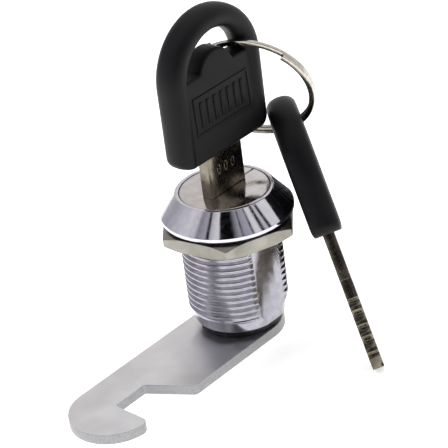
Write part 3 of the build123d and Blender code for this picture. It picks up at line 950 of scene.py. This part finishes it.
def key_nickel():
    """Thin nickel over brass key stock: dark olive, with milling lines along the blade, and bright where the
    stamps broke through."""
    material, tree, shader, place = new_finish("worn nickel on brass key stock", "#756e61", 0.26, 1.0)
    along = node(tree, "ShaderNodeMapping", {"Vector": place, "Scale": (6.0, 6.0, 0.8)})
    milled = node(tree, "ShaderNodeTexNoise", {"Vector": along.outputs["Vector"], "Scale": per_mm(1.6),
                                               "Detail": 4.0})
    stains = node(tree, "ShaderNodeTexNoise", {"Vector": place, "Scale": per_mm(2.8), "Detail": 4.0})
    stained = node(tree, "ShaderNodeValToRGB", {"Fac": stains.outputs["Fac"]}, stops=[
        (0.28, "#5a5449"), (0.5, "#756e61"), (0.72, "#8f887a")])
    struck = node(tree, "ShaderNodeAttribute", attribute_name="stamped", attribute_type="GEOMETRY")
    colour = node(tree, "ShaderNodeMix", {
        0: struck.outputs["Fac"], 6: stained.outputs["Color"], 7: linear("#d2ccbe")}, data_type="RGBA")
    tree.links.new(colour.outputs[2], shader.inputs["Base Color"])
    dulled = node(tree, "ShaderNodeMapRange", {
        "Value": milled.outputs["Fac"], "From Min": 0.3, "From Max": 0.7, "To Min": 0.20, "To Max": 0.32})
    tree.links.new(dulled.outputs["Result"], shader.inputs["Roughness"])
    lines = node(tree, "ShaderNodeBump", {"Height": milled.outputs["Fac"], "Strength": 0.08,
                                          "Distance": 0.02 * MM})
    tree.links.new(lines.outputs["Normal"], shader.inputs["Normal"])
    return material


def moulded_black():
    """Black ABS from a spark-eroded mould: an even fine grain that turns gloss into a soft bluish sheen."""
    material, tree, shader, place = new_finish("black ABS, fine spark grain", "#121214", 0.50, 0.0)
    shader.inputs["IOR"].default_value = 1.54
    shader.inputs["Specular IOR Level"].default_value = 0.15
    grain = node(tree, "ShaderNodeTexNoise", {"Vector": place, "Scale": per_mm(0.16), "Detail": 3.0})
    flow = node(tree, "ShaderNodeTexNoise", {"Vector": place, "Scale": per_mm(7.0), "Detail": 2.0})
    tint = node(tree, "ShaderNodeValToRGB", {"Fac": flow.outputs["Fac"]}, stops=[
        (0.3, "#0b0b0d"), (0.7, "#121214")])
    tree.links.new(tint.outputs["Color"], shader.inputs["Base Color"])
    handled = node(tree, "ShaderNodeMapRange", {
        "Value": flow.outputs["Fac"], "From Min": 0.3, "From Max": 0.7, "To Min": 0.40, "To Max": 0.52})
    tree.links.new(handled.outputs["Result"], shader.inputs["Roughness"])
    eroded = node(tree, "ShaderNodeBump", {"Height": grain.outputs["Fac"], "Strength": 0.30,
                                           "Distance": 0.05 * MM})
    tree.links.new(eroded.outputs["Normal"], shader.inputs["Normal"])
    return material


def ring_nickel():
    """Bright nickel on hard flat wire: clear reflections, dulled in patches where keys have rubbed."""
    material, tree, shader, place = new_finish("bright nickel on flat wire", "#cbc5ba", 0.12, 1.0)
    rub = node(tree, "ShaderNodeTexNoise", {"Vector": place, "Scale": per_mm(0.8), "Detail": 6.0})
    rubbed = node(tree, "ShaderNodeMapRange", {
        "Value": rub.outputs["Fac"], "From Min": 0.35, "From Max": 0.7, "To Min": 0.08, "To Max": 0.26})
    tree.links.new(rubbed.outputs["Result"], shader.inputs["Roughness"])
    tint = node(tree, "ShaderNodeValToRGB", {"Fac": rub.outputs["Fac"]}, stops=[
        (0.3, "#b9b2a6"), (0.7, "#d6d1c8")])
    tree.links.new(tint.outputs["Color"], shader.inputs["Base Color"])
    marks = node(tree, "ShaderNodeBump", {"Height": rub.outputs["Fac"], "Strength": 0.06,
                                          "Distance": 0.02 * MM})
    tree.links.new(marks.outputs["Normal"], shader.inputs["Normal"])
    return material


def pale_floor():
    """Smooth matt board of a light table, lit from below, so that shadows on it stay faint."""
    material, tree, shader, place = new_finish("matt white board", "#f7f7f7", 0.9, 0.0)
    shader.inputs["Emission Color"].default_value = linear("#ffffff")
    shader.inputs["Emission Strength"].default_value = 0.45
    fibre = node(tree, "ShaderNodeTexNoise", {"Vector": place, "Scale": per_mm(1.5), "Detail": 3.0})
    tooth = node(tree, "ShaderNodeBump", {"Height": fibre.outputs["Fac"], "Strength": 0.02,
                                          "Distance": 0.02 * MM})
    tree.links.new(tooth.outputs["Normal"], shader.inputs["Normal"])
    return material


# ================= putting it together =================

def fit(piece, body, finish, slot, *nodes):
    """Finishes a piece and lets it stand for its CAD nodes."""
    piece.data.materials.clear()
    piece.data.materials.append(finish)
    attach(piece, body)
    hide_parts(*nodes)


def build():
    chrome, nickel, face = bright_cast_chrome(), satin_nickel(), polished_plug_chrome()
    zinc, steel, brass = tumbled_zinc(), spring_steel(), stamped_brass()
    key_metal, plastic, ring_metal = key_nickel(), moulded_black(), ring_nickel()
    fit(housing(), "lock_body", chrome, "chrome_casting", "housing")
    fit(mounting_nut(), "nut", nickel, "nickel_nut", "mounting_nut")
    fit(plug(), "plug", face, "plug_face", "plug")
    fit(hook_cam(), "plug", zinc, "zinc_plate", "hook_cam")
    # The stop washer is coloured near black as painted shadow in the gap between the barrel and the cam.
    fit(stop_washer(), "plug", blackened_steel(), "blackened_steel", "stop_washer")
    fit(toothed_washer(), "plug", steel, "spring_steel", "lock_washer")
    fit(cam_screw(), "plug", zinc, "zinc_plate", "cam_screw")
    fit(split_ring(ring_metal), "ring", ring_metal, "ring_nickel", "split_ring")
    fit(blade("cut_key_blade"), "key_1", key_metal, "key_nickel", "key_1_blade")
    fit(key_head("moulded_key_head"), "key_1", plastic, "key_plastic", "key_1_head")
    there = hanging_place()
    fit(placed(blade("hanging_key_blade"), there), "key_2", key_metal, "key_nickel", "key_2_blade")
    fit(placed(key_head("hanging_key_head"), there), "key_2", plastic, "key_plastic", "key_2_head")
    for name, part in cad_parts.items():
        if name.startswith("wafer"):
            part.data.materials.clear()
            part.data.materials.append(steel if "spring" in name else brass)


# ================= studio =================

CAMERA_AZIMUTH = -45.871
CAMERA_ELEVATION = 28.848
CAMERA_ROLL = 7.595
CAMERA_DISTANCE = 367.08
CAMERA_ASIDE = (-0.596, -2.678)
LENS = 159.95


def camera():
    az, el, roll = (radians(a) for a in (CAMERA_AZIMUTH, CAMERA_ELEVATION, CAMERA_ROLL))
    back = Vector((sin(az) * cos(el), -cos(az) * cos(el), sin(el)))
    level = Vector((cos(az), sin(az), 0))
    steep = back.cross(level)
    right = level * cos(roll) - steep * sin(roll)
    up = level * sin(roll) + steep * cos(roll)
    made = link("camera", bpy.data.cameras.new("camera"))
    made.data.lens = LENS
    made.data.sensor_width = 36.0
    made.data.clip_start = 0.01
    at = back * CAMERA_DISTANCE + right * CAMERA_ASIDE[0] + up * CAMERA_ASIDE[1]
    made.matrix_world = Matrix.Translation(at * MM) @ Matrix((right, up, back)).transposed().to_4x4()
    bpy.context.scene.camera = made


def soft_light(name, azimuth, elevation, distance, size, watts):
    """A square soft light that points at the lock. It has no mirror image in the metal, where only the
    room shows."""
    a, e = radians(azimuth), radians(elevation)
    towards = Vector((sin(a) * cos(e), -cos(a) * cos(e), sin(e)))
    data = bpy.data.lights.new(name, "AREA")
    data.shape = "SQUARE"
    data.size = size
    data.energy = watts
    made = link(name, data)
    made.location = towards * distance
    made.rotation_mode = "QUATERNION"
    made.rotation_quaternion = towards.to_track_quat("Z", "Y")
    made.visible_glossy = False


def studio():
    """A white room with a few dark gaps between its screens, which show as bands in the bezel."""
    world = bpy.data.worlds.new("white studio")
    bpy.context.scene.world = world
    world.use_nodes = True
    tree = world.node_tree
    tree.nodes.clear()
    place = node(tree, "ShaderNodeTexCoord").outputs["Generated"]
    faced = node(tree, "ShaderNodeVectorRotate", {
        "Vector": place, "Angle": radians(90 - CAMERA_AZIMUTH)}, rotation_type="Z_AXIS")
    split = node(tree, "ShaderNodeSeparateXYZ", {"Vector": faced.outputs["Vector"]})
    around = node(tree, "ShaderNodeMath", {0: split.outputs["Y"], 1: split.outputs["X"]}, operation="ARCTAN2")
    share = node(tree, "ShaderNodeMapRange", {
        "Value": around.outputs["Value"], "From Min": radians(-180), "From Max": radians(180)})
    screens = node(tree, "ShaderNodeValToRGB", {"Fac": share.outputs["Result"]}, stops=[
        (0.000, "#f4f0ee"), (0.150, "#c0bec6"), (0.190, "#d8d6de"), (0.262, "#f4f4f8"),
        (0.305, "#e6e4ea"), (0.320, "#9c9aa2"), (0.362, "#c6c4cc"), (0.369, "#09090b"),
        (0.381, "#09090b"), (0.384, "#d2d0d6"), (0.425, "#ffffff"), (0.436, "#ffffff"), (0.439, "#060608"),
        (0.512, "#0a0a0e"), (0.540, "#9c9aa4"), (0.560, "#c2c0ca"), (0.563, "#202026"), (0.569, "#202026"),
        (0.573, "#b0aeb8"), (0.615, "#c8c6d0"), (0.619, "#34343a"), (0.625, "#34343a"), (0.630, "#ffffff"),
        (0.661, "#ffffff"), (0.666, "#121216"), (0.680, "#1c1c22"), (0.684, "#e8e8ec"), (0.698, "#e8e8ec"),
        (0.702, "#141418"), (0.714, "#1c1c22"), (0.718, "#ffffff"),
    ])
    high = node(tree, "ShaderNodeMapRange", {
        "Value": split.outputs["Z"], "From Min": sin(radians(60)), "From Max": sin(radians(68))})
    ceiling = node(tree, "ShaderNodeMix", {
        0: high.outputs["Result"], 6: screens.outputs["Color"], 7: linear("#ffffff")}, data_type="RGBA")
    light = node(tree, "ShaderNodeBackground", {"Color": ceiling.outputs[2], "Strength": 0.88})
    node(tree, "ShaderNodeOutputWorld", {"Surface": light.outputs["Background"]})
    soft_light("key softbox", -110, 45, 0.55, 0.35, 1.6)
    soft_light("fill softbox", 10, 30, 0.70, 0.40, 0.7)
    soft_light("top softbox", 130, 70, 0.60, 0.40, 1.2)
    half = 2.0 / MM
    low = cad_low.z / MM - 0.05
    floor = solid("floor", [(-half, -half, low), (half, -half, low), (half, half, low), (-half, half, low)],
                  [(0, 1, 2, 3)])
    floor.data.materials.append(pale_floor())


build()
camera()
studio()
bpy.context.scene.view_settings.view_transform = "Standard"
